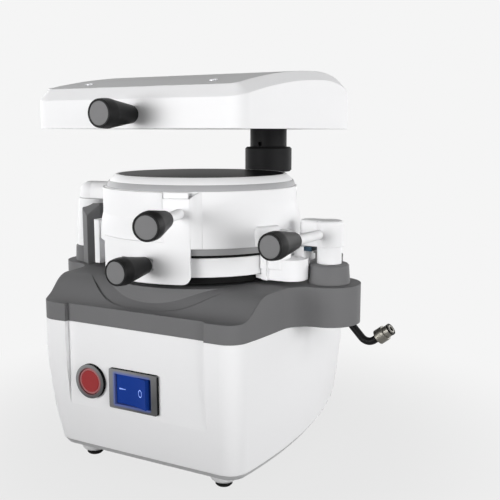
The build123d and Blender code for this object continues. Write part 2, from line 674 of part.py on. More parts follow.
RIM_R = 71.5
SWING_LEAN = radians(14)
SWING_FALL = radians(2)
FILL_ANGLES = (-150.0, -79.0)
bracket = make_bracket()
shell = make_shell() + make_swing_arm() - bracket
shell += sector(BRACKET_IN, BORE_R + 2, BRACKET_SPLIT + 0.2, RIM_LOW - 0.5, *FILL_ANGLES) - bracket
lean = (sin(SWING_LEAN), -cos(SWING_LEAN), -sin(SWING_FALL))
rod, grip, disc = handle((27.0, -72.0, -23.3), lean, 25.0, 1.8)
keep("chamber_shell", shell)
keep("front_bracket", bracket - rod)
keep_handle("swing", rod, grip, disc)
window_bore = WINDOW_R + 0.2
keep("chamber_rim", turned([(THROAT_R, RIM_LOW), (RIM_R, RIM_LOW), (RIM_R, RIM_LOW + 1), (64.0, 0),
                            (window_bore, 0), (window_bore, -4.6), (THROAT_R, -4.6)]))
keep("heating_window", tube(WINDOW_R, 0, -4.0, 0))
keep("window_seal", tube(WINDOW_R - 0.5, THROAT_R + 0.5, -4.6, -4.0))
holder = tube(BRACKET_IN - 0.2, THROAT_R + 1, HOLDER_LOW, FLARE_LOW)
keep("foil_holder", holder)
keep("foil_gasket", tube(RING_R + 0.5, THROAT_R, GASKET_LOW, HOLDER_LOW))
keep("right_jaw", make_right_jaw() - make_shell() - holder)
keep("left_jaw", make_left_jaw() - make_shell() - holder)
keep("wear_plate", box(LUG_EDGE, 96.0, -WEAR_HALF, WEAR_HALF, WEAR_LOW, WEAR_TOP))

# Assembly: foil ring under the chamber, with the lever that locks it

rod, grip, disc = handle((4.0, -74.0, -59.0), (0, -1, 0), 4.0, 6.0)
ring = turned([(THROAT_R - 1, RING_HIGH - 1), (WINDOW_R + 0.3, RING_HIGH - 1), (WINDOW_R + 0.3, RING_HIGH),
               (RING_R, RING_HIGH), (RING_R, RING_LOW), (THROAT_R - 1, RING_LOW)])
keep("foil_ring", ring - rod)
keep("ring_seal", tube(65.0, 60.5, SEAL_LOW, RING_LOW))
keep_handle("lock", rod, grip, disc)

# Assembly: clamp

CLAMP_TOP = -30.5
CLAMP_LOW = -49.1
CLAMP_R = 9.85
CLAMP_ROOT = (101.7, -9.0, -40.2)
CLAMP_TIP = (97.7, -78.0, -40.0)
cap_plan = Circle(CLAMP_R) + Pos(-9.0, 0) * Rectangle(18.0, 15.0) + Pos(-14.6, 0) * Circle(7.5)
cap = Pos(POST_X, 0, CLAMP_LOW) * extrude(cap_plan, CLAMP_TOP - CLAMP_LOW)
cap = fillet(cap.edges().group_by(Axis.Z)[-1], 2.5)
aim = Vector(*CLAMP_TIP) - Vector(*CLAMP_ROOT)
rod, grip, disc = handle(CLAMP_ROOT, aim, aim.length - GRIP_LEN, 5.0)
neck_low = COLLAR_TOP + 0.1
keep("clamp_cap", cap - rod)
keep("clamp_spindle", turned([(0, STEM_LOW), (SPINDLE_R, STEM_LOW), (SPINDLE_R, neck_low), (NECK_R, neck_low),
                              (NECK_R, CLAMP_LOW), (0, CLAMP_LOW)], POST_X, 0))
keep_handle("clamp", rod, grip, disc)

# Assembly: switch, button, mains inlet

BEZEL_T = 2.5
BEZEL_DEEP = 16.0
PIVOT_Y = PANEL_Y + 4.0
ROCKER_TILT = 9.0
ROCKER_H = 21.2
ROCKER_ROOM = (15.4, ROCKER_H / 2 + 0.3)
BUTTON_BEZEL_R = 12.4
BUTTON_BORE_R = 9.8
BUTTON_R = 9.5
body_w, body_h = SWITCH_BODY
bezel = slab(SWITCH_X, SWITCH_W / 2, PANEL_Y - BEZEL_T, PANEL_Y, SWITCH_Z, SWITCH_H / 2)
bezel = fillet(bezel.edges().filter_by(Axis.Y), 1.2)
bezel += slab(SWITCH_X, body_w - 0.1, PANEL_Y, PANEL_Y + BEZEL_DEEP, SWITCH_Z, body_h - 0.1)
bezel -= slab(SWITCH_X, ROCKER_ROOM[0], PANEL_Y - 5, PANEL_Y + BEZEL_DEEP - 2, SWITCH_Z, ROCKER_ROOM[1])
keep("switch_bezel", bezel)
with BuildSketch(Plane.XY) as sketch:
    with BuildLine():
        ThreePointArc((-14.0, -7.0), (0.0, -5.4), (14.0, -7.0))
        Polyline((14.0, -7.0), (14.0, -3.0), (9.0, 5.0), (-9.0, 5.0), (-14.0, -3.0), (-14.0, -7.0))
    make_face()
rocker = Rot(0, 0, -ROCKER_TILT) * extrude(sketch.sketch, ROCKER_H)
keep("power_rocker", Pos(SWITCH_X, PIVOT_Y, SWITCH_Z - ROCKER_H / 2) * rocker)
facing = Pos(BUTTON_X, PANEL_Y, BUTTON_Z) * Rot(90, 0, 0)
button_bezel = tube(BUTTON_BEZEL_R, 0, 0, 2.8) + tube(BUTTON_HOLE_R - 0.1, 0, -12, 0)
keep("button_bezel", facing * (button_bezel - tube(BUTTON_BORE_R, 0, -13, 4)))
keep("heating_button", facing * tube(BUTTON_R, 0, -8, 2.2))
inlet = slab(0, 25.0, REAR_Y, REAR_Y + 2.2, INLET_Z, 11.5)
inlet += slab(0, INLET_W / 2 - 0.2, REAR_Y - 20, REAR_Y, INLET_Z, INLET_H / 2 - 0.2)
inlet -= slab(0, 12.2, REAR_Y - 15, REAR_Y + 3, INLET_Z, 8.2)
for x, z in ((-7.0, -2.0), (7.0, -2.0), (0.0, 2.0)):
    inlet += slab(x, 1.0, REAR_Y - 15, REAR_Y - 1, INLET_Z + z, 2.0)
keep("mains_inlet", inlet)
fuse = tube(8.0, 0, 0, 3) + tube(FUSE_R - 0.1, 0, -18, 0)
keep("fuse_holder", Pos(0, REAR_Y, FUSE_Z) * Rot(-90, 0, 0) * fuse)

# Assembly: what the housing holds inside, standing on the bottom plate

FLOOR = HOUSING_LOW
BOARD_LOW = FLOOR + 8
BOARD_TOP = BOARD_LOW + 1.6
core = slab(0, 34, 14, 44, FLOOR + 27, 27)
keep("transformer", core + slab(0, 23, 4, 54, FLOOR + 27, 17))
board = box(-50, 50, -62, -14, BOARD_LOW, BOARD_TOP)
for x, y in ((-45, -57), (45, -57), (-45, -19), (45, -19)):
    board += tube(2.5, 0, FLOOR, BOARD_LOW, x, y)
board += box(-38, -14, -50, -26, BOARD_TOP, BOARD_TOP + 18) + box(4, 16, -44, -20, BOARD_TOP, BOARD_TOP + 24)
keep("control_board", board)
keep("solenoid_valve", box(36, 56, 60, 88, FLOOR, FLOOR + 22) + tube(9, 0, FLOOR + 22, FLOOR + 52, 46, 74))
keep("pressure_regulator", tube(13, 0, FLOOR, FLOOR + 26, -46, 74) + tube(9, 0, FLOOR + 26, FLOOR + 48, -46, 74))


def set_down():
    """Shift that puts the origin in the middle of the bounding box's underside."""
    boxes = [solid.bounding_box() for solids in PARTS.values() for solid in solids]
    x0, x1 = min(b.min.X for b in boxes), max(b.max.X for b in boxes)
    y0, y1 = min(b.min.Y for b in boxes), max(b.max.Y for b in boxes)
    z0 = min(b.min.Z for b in boxes)
    return -(x0 + x1) / 2, -(y0 + y1) / 2, -z0


down = set_down()
for name, solids in PARTS.items():
    moved = [Pos(*down) * solid for solid in solids]
    export_step(moved[0] if len(moved) == 1 else Compound(children=moved), f"parts/{name}.step")
print("moved by", [round(v, 3) for v in down])
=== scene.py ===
"""Looks of the dental pressure former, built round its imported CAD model."""
import math

import bmesh
import bpy
from mathutils import Euler, Matrix, Vector


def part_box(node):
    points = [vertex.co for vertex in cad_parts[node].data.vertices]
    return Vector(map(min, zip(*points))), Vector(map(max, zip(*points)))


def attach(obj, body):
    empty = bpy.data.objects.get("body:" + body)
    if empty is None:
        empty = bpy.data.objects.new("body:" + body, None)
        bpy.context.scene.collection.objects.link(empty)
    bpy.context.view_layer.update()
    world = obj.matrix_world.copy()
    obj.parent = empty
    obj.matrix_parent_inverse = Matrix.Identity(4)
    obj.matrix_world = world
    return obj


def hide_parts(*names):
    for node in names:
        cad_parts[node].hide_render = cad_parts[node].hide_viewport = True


bl_info = {
    "name": "Pressure former looks",
    "version": (1, 1, 0),
    "blender": (4, 5, 0),
    "location": "View3D > Sidebar > Former",
    "description": "Finishes and fine trim of a bench-top pressure former",
    "category": "Object",
}

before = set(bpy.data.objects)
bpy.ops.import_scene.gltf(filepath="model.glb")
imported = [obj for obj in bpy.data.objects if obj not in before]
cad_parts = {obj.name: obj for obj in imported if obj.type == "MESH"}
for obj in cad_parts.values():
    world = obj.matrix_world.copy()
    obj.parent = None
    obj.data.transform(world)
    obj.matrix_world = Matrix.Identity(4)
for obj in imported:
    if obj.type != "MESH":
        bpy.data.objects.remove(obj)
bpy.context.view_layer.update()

MM = 0.001
TURN = 2 * math.pi
UP = Vector((0, 0, 1))
TO_FRONT = Vector((0, -1, 0))
WINDOW_LOW, WINDOW_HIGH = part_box("heating_window")
# Middle of the window's top face, from which places in mm are given
DATUM = Vector(((WINDOW_LOW.x + WINDOW_HIGH.x) / 2, (WINDOW_LOW.y + WINDOW_HIGH.y) / 2, WINDOW_HIGH.z))


def place(x, y, z):
    """Point in metres from millimetres about the middle of the window's top face."""
    return DATUM + Vector((x, y, z)) * MM


def linear(hex_colour):
    """Linear colour with alpha from an sRGB hex value."""
    channels = [int(hex_colour[i:i + 2], 16) / 255 for i in (1, 3, 5)]
    return tuple(c / 12.92 if c <= 0.04045 else ((c + 0.055) / 1.055) ** 2.4 for c in channels) + (1.0,)


def polar(radius, angle, height=0.0):
    """Vector at a radius, an angle in radians and a height about the Z axis."""
    return Vector((radius * math.cos(angle), radius * math.sin(angle), height))


def add_node(tree, kind, settings=None, inputs=None):
    """Add a node, set its attributes and then its inputs; an input may be a socket to link from."""
    made = tree.nodes.new(kind)
    for name, value in (settings or {}).items():
        setattr(made, name, value)
    for name, value in (inputs or {}).items():
        if isinstance(value, bpy.types.NodeSocket):
            tree.links.new(value, made.inputs[name])
        else:
            made.inputs[name].default_value = value
    return made


def new_material(name):
    """Empty material with its node tree."""
    material = bpy.data.materials.new(name)
    material.use_nodes = True
    material.node_tree.nodes.clear()
    return material, material.node_tree


def surface(name, tones, patch_mm, roughness, grain, edge_mm=0.0, rough_spread=0.0, **sockets):
    """Principled surface with two close tones in soft patches, a grain of a real size and eased edges.

    grain is (grain size in mm, its height in mm, strength); edge_mm is the radius that the eye sees on
    sharp edges; rough_spread is how far the roughness varies either way over the patches.
    """
    material, tree = new_material(name)
    where = add_node(tree, "ShaderNodeTexCoord").outputs["Object"]
    patches = add_node(tree, "ShaderNodeTexNoise", None,
                       {"Vector": where, "Scale": 1.0 / (patch_mm * MM), "Detail": 2.0})
    tone = add_node(tree, "ShaderNodeMix", {"data_type": "RGBA"},
                    {"Factor": patches.outputs["Fac"], "A": linear(tones[0]), "B": linear(tones[1])})
    size_mm, height_mm, strength = grain
    noise = add_node(tree, "ShaderNodeTexNoise", None,
                     {"Vector": where, "Scale": 1.0 / (size_mm * MM), "Detail": 3.0, "Roughness": 0.6})
    bump = add_node(tree, "ShaderNodeBump", None,
                    {"Strength": strength, "Distance": height_mm * MM, "Height": noise.outputs["Fac"]})
    if edge_mm:
        eased = add_node(tree, "ShaderNodeBevel", {"samples": 4}, {"Radius": edge_mm * MM})
        tree.links.new(eased.outputs["Normal"], bump.inputs["Normal"])
    shader = add_node(tree, "ShaderNodeBsdfPrincipled", None,
                      {"Base Color": tone.outputs["Result"], "Normal": bump.outputs["Normal"],
                       "Roughness": roughness})
    if rough_spread:
        spread = add_node(tree, "ShaderNodeMapRange", None,
                          {"Value": patches.outputs["Fac"], "From Min": 0.3, "From Max": 0.7,
                           "To Min": roughness - rough_spread, "To Max": roughness + rough_spread})
        tree.links.new(spread.outputs["Result"], shader.inputs["Roughness"])
    for socket, value in sockets.items():
        shader.inputs[socket.replace("_", " ")].default_value = value
    add_node(tree, "ShaderNodeOutputMaterial", None, {"Surface": shader.outputs["BSDF"]})
    return material


# Each finish: two tones, patch size in mm, roughness, (grain in mm, its height in mm, strength), the rest.
# The coats' IOR is low because the pale room all round already lightens them as much as the photograph shows.
FINISHES = {
    # Glossy powder coat on sheet and cast housings: white with a faint orange peel, soft at its edges
    "powder_coat_white": (("#f0f0f1", "#ededee"), 60, 0.50, (1.4, 0.012, 0.10),
                          {"IOR": 1.15, "edge_mm": 0.9, "rough_spread": 0.04}),
    # Sprayed enamel on cast and turned aluminium: a little harder and glossier
    "enamel_white": (("#f1f1f2", "#eeeeef"), 40, 0.42, (1.2, 0.010, 0.08),
                     {"IOR": 1.15, "edge_mm": 0.9, "rough_spread": 0.03}),
    # Heat-resistant black enamel on the sheet under the heater
    "stove_enamel_black": (("#1b1b1c", "#202021"), 25, 0.55, (0.8, 0.010, 0.15), {"IOR": 1.45}),
    # Moulded ABS of the deck: satin grey with a fine spark-eroded grain
    "moulded_abs_grey": (("#727273", "#6e6e6f"), 35, 0.50, (0.35, 0.010, 0.16),
                         {"IOR": 1.15, "edge_mm": 0.8, "rough_spread": 0.04}),
    # Moulded ABS of the bottom plate: pale grey, satin
    "moulded_abs_pale": (("#b9b9ba", "#b2b2b3"), 30, 0.50, (0.5, 0.010, 0.15), {"IOR": 1.46, "edge_mm": 0.4}),
    # Moulded polyamide foot cups: pale and slightly waxy
    "moulded_polyamide_cup": (("#cfcfd0", "#c6c6c7"), 20, 0.45, (0.5, 0.010, 0.15),
                              {"IOR": 1.5, "edge_mm": 0.4}),
    # Rubber: black, dry and matt, with a talc bloom in patches
    "rubber_black": (("#0f0f0f", "#161616"), 8, 0.78, (0.3, 0.020, 0.3), {"IOR": 1.2, "rough_spread": 0.06}),
    # Phenolic grips, compression moulded: black with a satin polish
    "phenolic_black": (("#161617", "#1b1b1b"), 6, 0.42, (0.25, 0.010, 0.15), {"IOR": 1.2, "edge_mm": 0.5}),
    # Pressed end disc of a grip: matt mid grey
    "pressed_disc_grey": (("#707071", "#6b6b6c"), 6, 0.62, (0.2, 0.010, 0.2), {"IOR": 1.4}),
    # Black anodised aluminium of the rear column, turned: dark with a low sheen
    "anodised_black": (("#1c1c1d", "#212122"), 14, 0.50, (0.25, 0.010, 0.15), {"IOR": 1.15, "edge_mm": 0.5}),
    # Dark glass-ceramic window: near black, ground flat and coated against glare, so it mirrors little
    "glass_ceramic_dark": (("#151516", "#181818"), 50, 0.36, (2.0, 0.002, 0.03), {"IOR": 1.06}),
    # Machined and plated steel: bright, with a fine turned grain
    "plated_steel": (("#cfd0d2", "#c3c4c7"), 10, 0.28, (0.4, 0.005, 0.12), {"Metallic": 1.0, "edge_mm": 0.3}),
    # Brushed aluminium of cup, platform and reflector
    "brushed_aluminium": (("#b4b5b8", "#a6a7aa"), 12, 0.38, (0.3, 0.008, 0.2),
                          {"Metallic": 1.0, "edge_mm": 0.3}),
    # Nickel-plated brass of the hose fitting: grey with a warm cast
    "nickel_plated_brass": (("#7a7872", "#6b6962"), 6, 0.40, (0.3, 0.006, 0.2),
                            {"Metallic": 1.0, "edge_mm": 0.3}),
    # Blued spring steel of the wear plate: dark blue-grey
    "blued_steel": (("#222d36", "#1c262e"), 5, 0.38, (0.3, 0.006, 0.2), {"Metallic": 1.0}),
    # Stainless wire of the heater's guard, tinted by heat
    "heat_tinted_wire": (("#8d8579", "#766c62"), 9, 0.35, (0.4, 0.006, 0.2), {"Metallic": 1.0}),
    # Grey anodised aluminium of the foil holder: satin
    "anodised_grey": (("#8f8f90", "#878788"), 20, 0.42, (0.3, 0.006, 0.15), {"IOR": 1.5, "edge_mm": 0.3}),
    # Black lacquer on the bent pipe: smooth, with a low gloss
    "lacquer_black": (("#0f0f10", "#141415"), 8, 0.45, (0.5, 0.005, 0.1), {"IOR": 1.2}),
    # Glass-filled polyamide of inlet and fuse cap: black, dry
    "polyamide_black": (("#19191a", "#202021"), 8, 0.58, (0.3, 0.010, 0.25), {"IOR": 1.5, "edge_mm": 0.3}),
    # Turned bronze bush: warm brown-yellow
    "bronze_turned": (("#a8763e", "#96683a"), 6, 0.4, (0.3, 0.010, 0.2), {"Metallic": 1.0}),
    # Translucent polycarbonate rocker over a lamp: deep blue that glows a little
    "polycarbonate_blue": (("#1b3c8c", "#173484"), 12, 0.36, (0.6, 0.004, 0.06),
                           {"IOR": 1.12, "edge_mm": 0.3,
                            "Emission_Color": linear("#2450ae"), "Emission_Strength": 0.06}),
    # Moulded button cap: red, satin, with a little of the lamp behind it
    "moulded_red": (("#98393b", "#913537"), 10, 0.45, (0.4, 0.006, 0.1),
                    {"IOR": 1.15, "edge_mm": 0.3,
                     "Emission_Color": linear("#a83a3a"), "Emission_Strength": 0.05}),
    # The same moulding at its clear rim, where the lamp shows through: pinkish grey
    "moulded_red_rim": (("#a86466", "#a05e60"), 8, 0.40, (0.4, 0.006, 0.1), {"IOR": 1.45}),
    # Rim's lower band: light grey and satin; its grey, darker than the white crown above, is painted shade
    "anodised_light_grey": (("#a9a9ab", "#a2a2a4"), 16, 0.48, (0.3, 0.006, 0.15), {"IOR": 1.3}),
    # Soft black rubber behind the bezels and at the hose fitting's end: matt
    "gasket_black": (("#0c0c0d", "#111112"), 6, 0.6, (0.3, 0.010, 0.2), {"IOR": 1.1}),
    # Steel-sheathed heating element: brown-grey scale
    "sheathed_element": (("#4b413a", "#5a5049"), 5, 0.6, (0.4, 0.020, 0.3), {"rough_spread": 0.08}),
    # Laminated iron and copper of the transformer: dull dark grey
    "laminated_iron": (("#4d4f52", "#43454a"), 4, 0.55, (0.3, 0.020, 0.3), {"Metallic": 1.0}),
    # Solder-masked glass-fibre board: green, slightly glossy
    "board_green": (("#1d5a2c", "#1a5228"), 6, 0.45, (0.3, 0.008, 0.1), {"IOR": 1.5}),
}

# Finish of every CAD node but the two bezels
DRESS = {
    "powder_coat_white": ("base_housing", "heater_cover"),
    "stove_enamel_black": ("heater_base",),
    "enamel_white": ("chamber_shell", "front_bracket", "right_jaw", "left_jaw", "clamp_cap", "swing_post",
                     "foil_ring", "chamber_rim", "swing_rod", "lock_rod", "clamp_rod", "heater_rod",
                     "clamp_spindle"),
    "moulded_abs_grey": ("deck_cover", "post_guard", "post_collars"),
    "moulded_abs_pale": ("base_plate",),
    "moulded_polyamide_cup": ("foot_cups",),
    "rubber_black": ("foot_pads", "window_seal", "foil_gasket", "ring_seal"),
    "phenolic_black": ("swing_grip", "lock_grip", "clamp_grip", "heater_grip"),
    "pressed_disc_grey": ("swing_grip_disc", "lock_grip_disc", "clamp_grip_disc", "heater_grip_disc"),
    "anodised_black": ("column_collar", "column_shaft", "column_post"),
    "glass_ceramic_dark": ("heating_window",),
    "plated_steel": ("column_flange", "cap_screws"),
    "brushed_aluminium": ("model_cup", "model_platform", "heater_reflector", "solenoid_valve",
                          "pressure_regulator"),
    "nickel_plated_brass": ("air_fitting",),
    "blued_steel": ("wear_plate",),
    "heat_tinted_wire": ("heater_grille",),
    "anodised_grey": ("foil_holder",),
    "lacquer_black": ("air_pipe",),
    "polyamide_black": ("mains_inlet", "fuse_holder"),
    "bronze_turned": ("column_bush",),
    "polycarbonate_blue": ("power_rocker",),
    "moulded_red": ("heating_button",),
    "sheathed_element": ("heating_rings",),
    "laminated_iron": ("transformer",),
    "board_green": ("control_board",),
}

# Each bezel: its material, the control in its opening, the tint of the lamp glow painted on it and how far that
# glow reaches in mm, round or not
LIT_BEZELS = {
    "switch_bezel": ("moulded_grey_bezel_painted_shade_blue_glow", "power_rocker", "#5a6cb2", 3.0, False),
    "button_bezel": ("moulded_grey_bezel_painted_shade_red_glow", "heating_button", "#8a6668", 1.2, True),
}

# Finishes that have been made so far
MADE = {}


def finish(name):
    """A finish by name, made the first time that it is asked for."""
    if name not in MADE:
        tones, patch, roughness, grain, extra = FINISHES[name]
        MADE[name] = surface(name, tones, patch, roughness, grain, **extra)
    return MADE[name]


def link_piece(name, mesh, body, replaced=()):
    """New piece from a mesh that is already in its place, riding on a body."""
    piece = bpy.data.objects.new(name, mesh)
    bpy.context.scene.collection.objects.link(piece)
    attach(piece, body)
    if replaced:
        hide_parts(*replaced)
    return piece


def mesh_from(name, vertices, faces, material, smooth=False):
    """Mesh from plain data with one material, its faces turned outwards."""
    mesh = bpy.data.meshes.new(name)
    mesh.from_pydata([tuple(v) for v in vertices], [], faces)
    mesh.validate()
    mesh.materials.append(finish(material) if isinstance(material, str) else material)
    edit = bmesh.new()
    edit.from_mesh(mesh)
    bmesh.ops.recalc_face_normals(edit, faces=edit.faces)
    edit.to_mesh(mesh)
    edit.free()
    if smooth:
        mesh.shade_smooth()
    return mesh


def ringed(rings, close=True):
    """Vertices and faces through rings of equally many points, with a lid at each end."""
    count = len(rings[0])
    vertices = [point for ring in rings for point in ring]
    faces = []
    for k in range(len(rings) - 1):
        for i in range(count):
            j = (i + 1) % count
            faces.append((k * count + i, k * count + j, (k + 1) * count + j, (k + 1) * count + i))
    if close:
        faces.append(tuple(reversed(range(count))))
        faces.append(tuple(range((len(rings) - 1) * count, len(rings) * count)))
    return vertices, faces


def looped(rings):
    """Vertices and faces of a closed band: the last ring joins the first."""
    vertices, faces = ringed(rings, close=False)
    count = len(rings[0])
    last = (len(rings) - 1) * count
    faces += [(last + i, last + (i + 1) % count, (i + 1) % count, i) for i in range(count)]
    return vertices, faces


def lathed(profile_mm, sides, origin, axis):
    """Rings of a turned form: (radius, height) points in mm about an axis through an origin."""
    turn = axis.to_track_quat("Z", "Y")
    return [[origin + turn @ (polar(radius, TURN * i / sides, height) * MM) for i in range(sides)]
            for radius, height in profile_mm]


def round_shading(mesh, sharp_degrees=28):
    """Smooth shading with edges sharper than an angle kept sharp."""
    mesh.shade_smooth()
    mesh.set_sharp_from_angle(angle=math.radians(sharp_degrees))


# Node trees for what repeats

def new_tree(name, sizes):
    """Geometry node tree with a mesh input and named size inputs, and a geometry output."""
    tree = bpy.data.node_groups.new(name, "GeometryNodeTree")
    tree.interface.new_socket(name="Geometry", in_out="INPUT", socket_type="NodeSocketGeometry")
    for label, kind, value in sizes:
        socket = tree.interface.new_socket(name=label, in_out="INPUT", socket_type=kind)
        if value is not None:
            socket.default_value = value
    tree.interface.new_socket(name="Geometry", in_out="OUTPUT", socket_type="NodeSocketGeometry")
    return tree, add_node(tree, "NodeGroupInput").outputs, add_node(tree, "NodeGroupOutput")


def end_tree(tree, out, geometry, material_socket):
    """Close a tree with Realize Instances and Set Material."""
    real = add_node(tree, "GeometryNodeRealizeInstances", None, {"Geometry": geometry})
    dressed = add_node(tree, "GeometryNodeSetMaterial", None,
                       {"Geometry": real.outputs[0], "Material": material_socket})
    tree.links.new(dressed.outputs[0], out.inputs["Geometry"])


def grown(name, seed_mesh, tree, values):
    """Plain mesh that a node tree makes from a seed mesh, with the tree's inputs set by identifier."""
    seed = bpy.data.objects.new(name + "_seed", seed_mesh)
    bpy.context.scene.collection.objects.link(seed)
    modifier = seed.modifiers.new("nodes", "NODES")
    modifier.node_group = tree
    for item in tree.interface.items_tree:
        if item.item_type == "SOCKET" and item.in_out == "INPUT" and item.name in values:
            modifier[item.identifier] = values[item.name]
    depsgraph = bpy.context.evaluated_depsgraph_get()
    mesh = bpy.data.meshes.new_from_object(seed.evaluated_get(depsgraph), depsgraph=depsgraph)
    mesh.name = name
    bpy.data.objects.remove(seed)
    return mesh


def scatter_tree():
    """Tree that sets a template object on every seed point, turned as the point says."""
    tree, given, out = new_tree("set_on_points", (("Template", "NodeSocketObject", None),
                                                  ("Material", "NodeSocketMaterial", None),
                                                  ("Size", "NodeSocketFloat", 1.0)))
    lay = add_node(tree, "GeometryNodeInputNamedAttribute", {"data_type": "FLOAT_VECTOR"}, {"Name": "lay"})
    turned = add_node(tree, "FunctionNodeEulerToRotation", None, {"Euler": lay.outputs["Attribute"]})
    info = add_node(tree, "GeometryNodeObjectInfo", None, {"Object": given["Template"]})
    each = add_node(tree, "GeometryNodeInstanceOnPoints", None,
                    {"Points": given["Geometry"], "Instance": info.outputs["Geometry"],
                     "Rotation": turned.outputs["Rotation"], "Scale": given["Size"]})
    end_tree(tree, out, each.outputs["Instances"], given["Material"])
    return tree


def wire_tree():
    """Tree that turns the edges of a seed mesh into round wire."""
    tree, given, out = new_tree("round_wire", (("Wire radius", "NodeSocketFloat", 0.0009),
                                               ("Sides", "NodeSocketInt", 10),
                                               ("Material", "NodeSocketMaterial", None)))
    line = add_node(tree, "GeometryNodeMeshToCurve", None, {"Mesh": given["Geometry"]})
    section = add_node(tree, "GeometryNodeCurvePrimitiveCircle", None,
                       {"Resolution": given["Sides"], "Radius": given["Wire radius"]})
    wire = add_node(tree, "GeometryNodeCurveToMesh", None,
                    {"Curve": line.outputs["Curve"], "Profile Curve": section.outputs["Curve"],
                     "Fill Caps": True})
    end_tree(tree, out, wire.outputs["Mesh"], given["Material"])
    return tree


def set_out(name, template_mesh, spots, turns, material, body, replaced=()):
    """Piece made of one template set on many points, each with its own turn, through the scatter tree."""
    template = bpy.data.objects.new(name + "_template", template_mesh)
    bpy.context.scene.collection.objects.link(template)
    points = bpy.data.meshes.new(name + "_points")
    points.from_pydata([tuple(spot) for spot in spots], [], [])
    lay = points.attributes.new("lay", "FLOAT_VECTOR", "POINT")
    for i, turn in enumerate(turns):
        lay.data[i].vector = turn
    tree = bpy.data.node_groups.get("set_on_points") or scatter_tree()
    mesh = grown(name, points, tree, {"Template": template, "Material": finish(material), "Size": 1.0})
    bpy.data.objects.remove(template)
    return link_piece(name, mesh, body, replaced)


class FormerSizes(bpy.types.PropertyGroup):
    """Sizes and colours that a user would change."""
    screw_radius: bpy.props.FloatProperty(
        name="Screw head radius", description="Radius of the cap screws' heads",
        default=0.0036, unit="LENGTH")
    screw_height: bpy.props.FloatProperty(
        name="Screw head height", description="Height of the cap screws' heads",
        default=0.0026, unit="LENGTH")
    wire_radius: bpy.props.FloatProperty(
        name="Guard wire radius", description="Radius of the wire in the heater's guard",
        default=0.0009, unit="LENGTH")
    mark_width: bpy.props.FloatProperty(
        name="Mark width", description="Line width of the two marks on the rocker",
        default=0.0006, unit="LENGTH")
    mark_colour: bpy.props.FloatVectorProperty(
        name="Mark colour", description="Colour of the rocker's marks",
        size=4, subtype="COLOR", default=linear("#8fb0ff"))
    backdrop_colour: bpy.props.FloatVectorProperty(
        name="Backdrop colour", description="Colour of the floor and backdrop",
        size=4, subtype="COLOR", default=linear("#f5f5f5"))
    front_power: bpy.props.FloatProperty(
        name="Front lamp", description="Power of the lamp in front", default=3.0, subtype="POWER")
    side_power: bpy.props.FloatProperty(
        name="Side lamp", description="Power of the lamp on the right", default=12.6, subtype="POWER")
    rear_power: bpy.props.FloatProperty(
        name="Rear lamps", description="Power of the lamp behind on the left; the one on the right has 0.8 of it",
        default=6.0, subtype="POWER")


class FORMER_OT_finishes(bpy.types.Operator):
    """Give every CAD node but the two bezels its finish"""
    bl_idname = "former.finishes"
    bl_label = "Finishes"

    def execute(self, context):
        for name, nodes in DRESS.items():
            for node in nodes:
                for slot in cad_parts[node].material_slots:
                    slot.material = finish(name)
        missing = set(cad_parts) - {node for nodes in DRESS.values() for node in nodes} - set(LIT_BEZELS)
        if missing:
            raise RuntimeError(f"no finish for {sorted(missing)}")
        return {"FINISHED"}


def screw_template(radius, height):
    """Cap screw head with an eased upper edge and a hexagon socket, its seat at the origin."""
    sides = 24
    edge, deep, across = 0.12 * radius, 0.6 * height, 0.46 * radius

    def circle(r, z):
        """Points of a circle."""
        return [polar(r, TURN * i / sides, z) for i in range(sides)]

    def hexagon(r, z):
        """Points of a hexagon at the same angles as the circle's."""
        ring = []
        for i in range(sides):
            angle = TURN * i / sides
            reach = r * math.cos(math.pi / 6) / math.cos((angle % (math.pi / 3)) - math.pi / 6)
            ring.append(polar(reach, angle, z))
        return ring

    rings = [circle(radius, 0), circle(radius, height - edge), circle(radius - 0.35 * edge, height - 0.3 * edge),
             circle(radius - edge, height), hexagon(across + 0.15 * edge, height),
             hexagon(across, height - 0.3 * edge), hexagon(across, height - deep)]
    vertices, faces = ringed(rings)
    mesh = bpy.data.meshes.new("screw_head")
    mesh.from_pydata([tuple(v) for v in vertices], [], faces)
    return mesh


class FORMER_OT_cap_screws(bpy.types.Operator):
    """Cap screws of the bottom plate and of the column's flange"""
    bl_idname = "former.cap_screws"
    bl_label = "Cap screws"

    def execute(self, context):
        sizes = context.scene.former_sizes
        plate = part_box("base_plate")[0].z
        flange_low, flange_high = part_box("column_flange")
        middle = (flange_low + flange_high) / 2
        bolt_circle = 20 * MM
        # Each head has been driven home to an angle of its own
        spots, turns = [], []
        for x, y in ((-68.0, -30.0), (68.0, -30.0), (-66.0, 40.0), (66.0, 40.0)):
            spot = place(x, y, 0)
            spots.append((spot.x, spot.y, plate))
            turns.append((math.pi, 0.0, 0.3 * x))
        for degrees in (45, 135, 225, 315):
            reach = polar(1, math.radians(degrees)) * bolt_circle
            spots.append((middle.x + reach.x, middle.y + reach.y, flange_high.z))
            turns.append((0.0, 0.0, 0.02 * degrees))
        set_out("cap_screw_heads", screw_template(sizes.screw_radius, sizes.screw_height), spots, turns,
                "plated_steel", "base", ("cap_screws",))
        return {"FINISHED"}


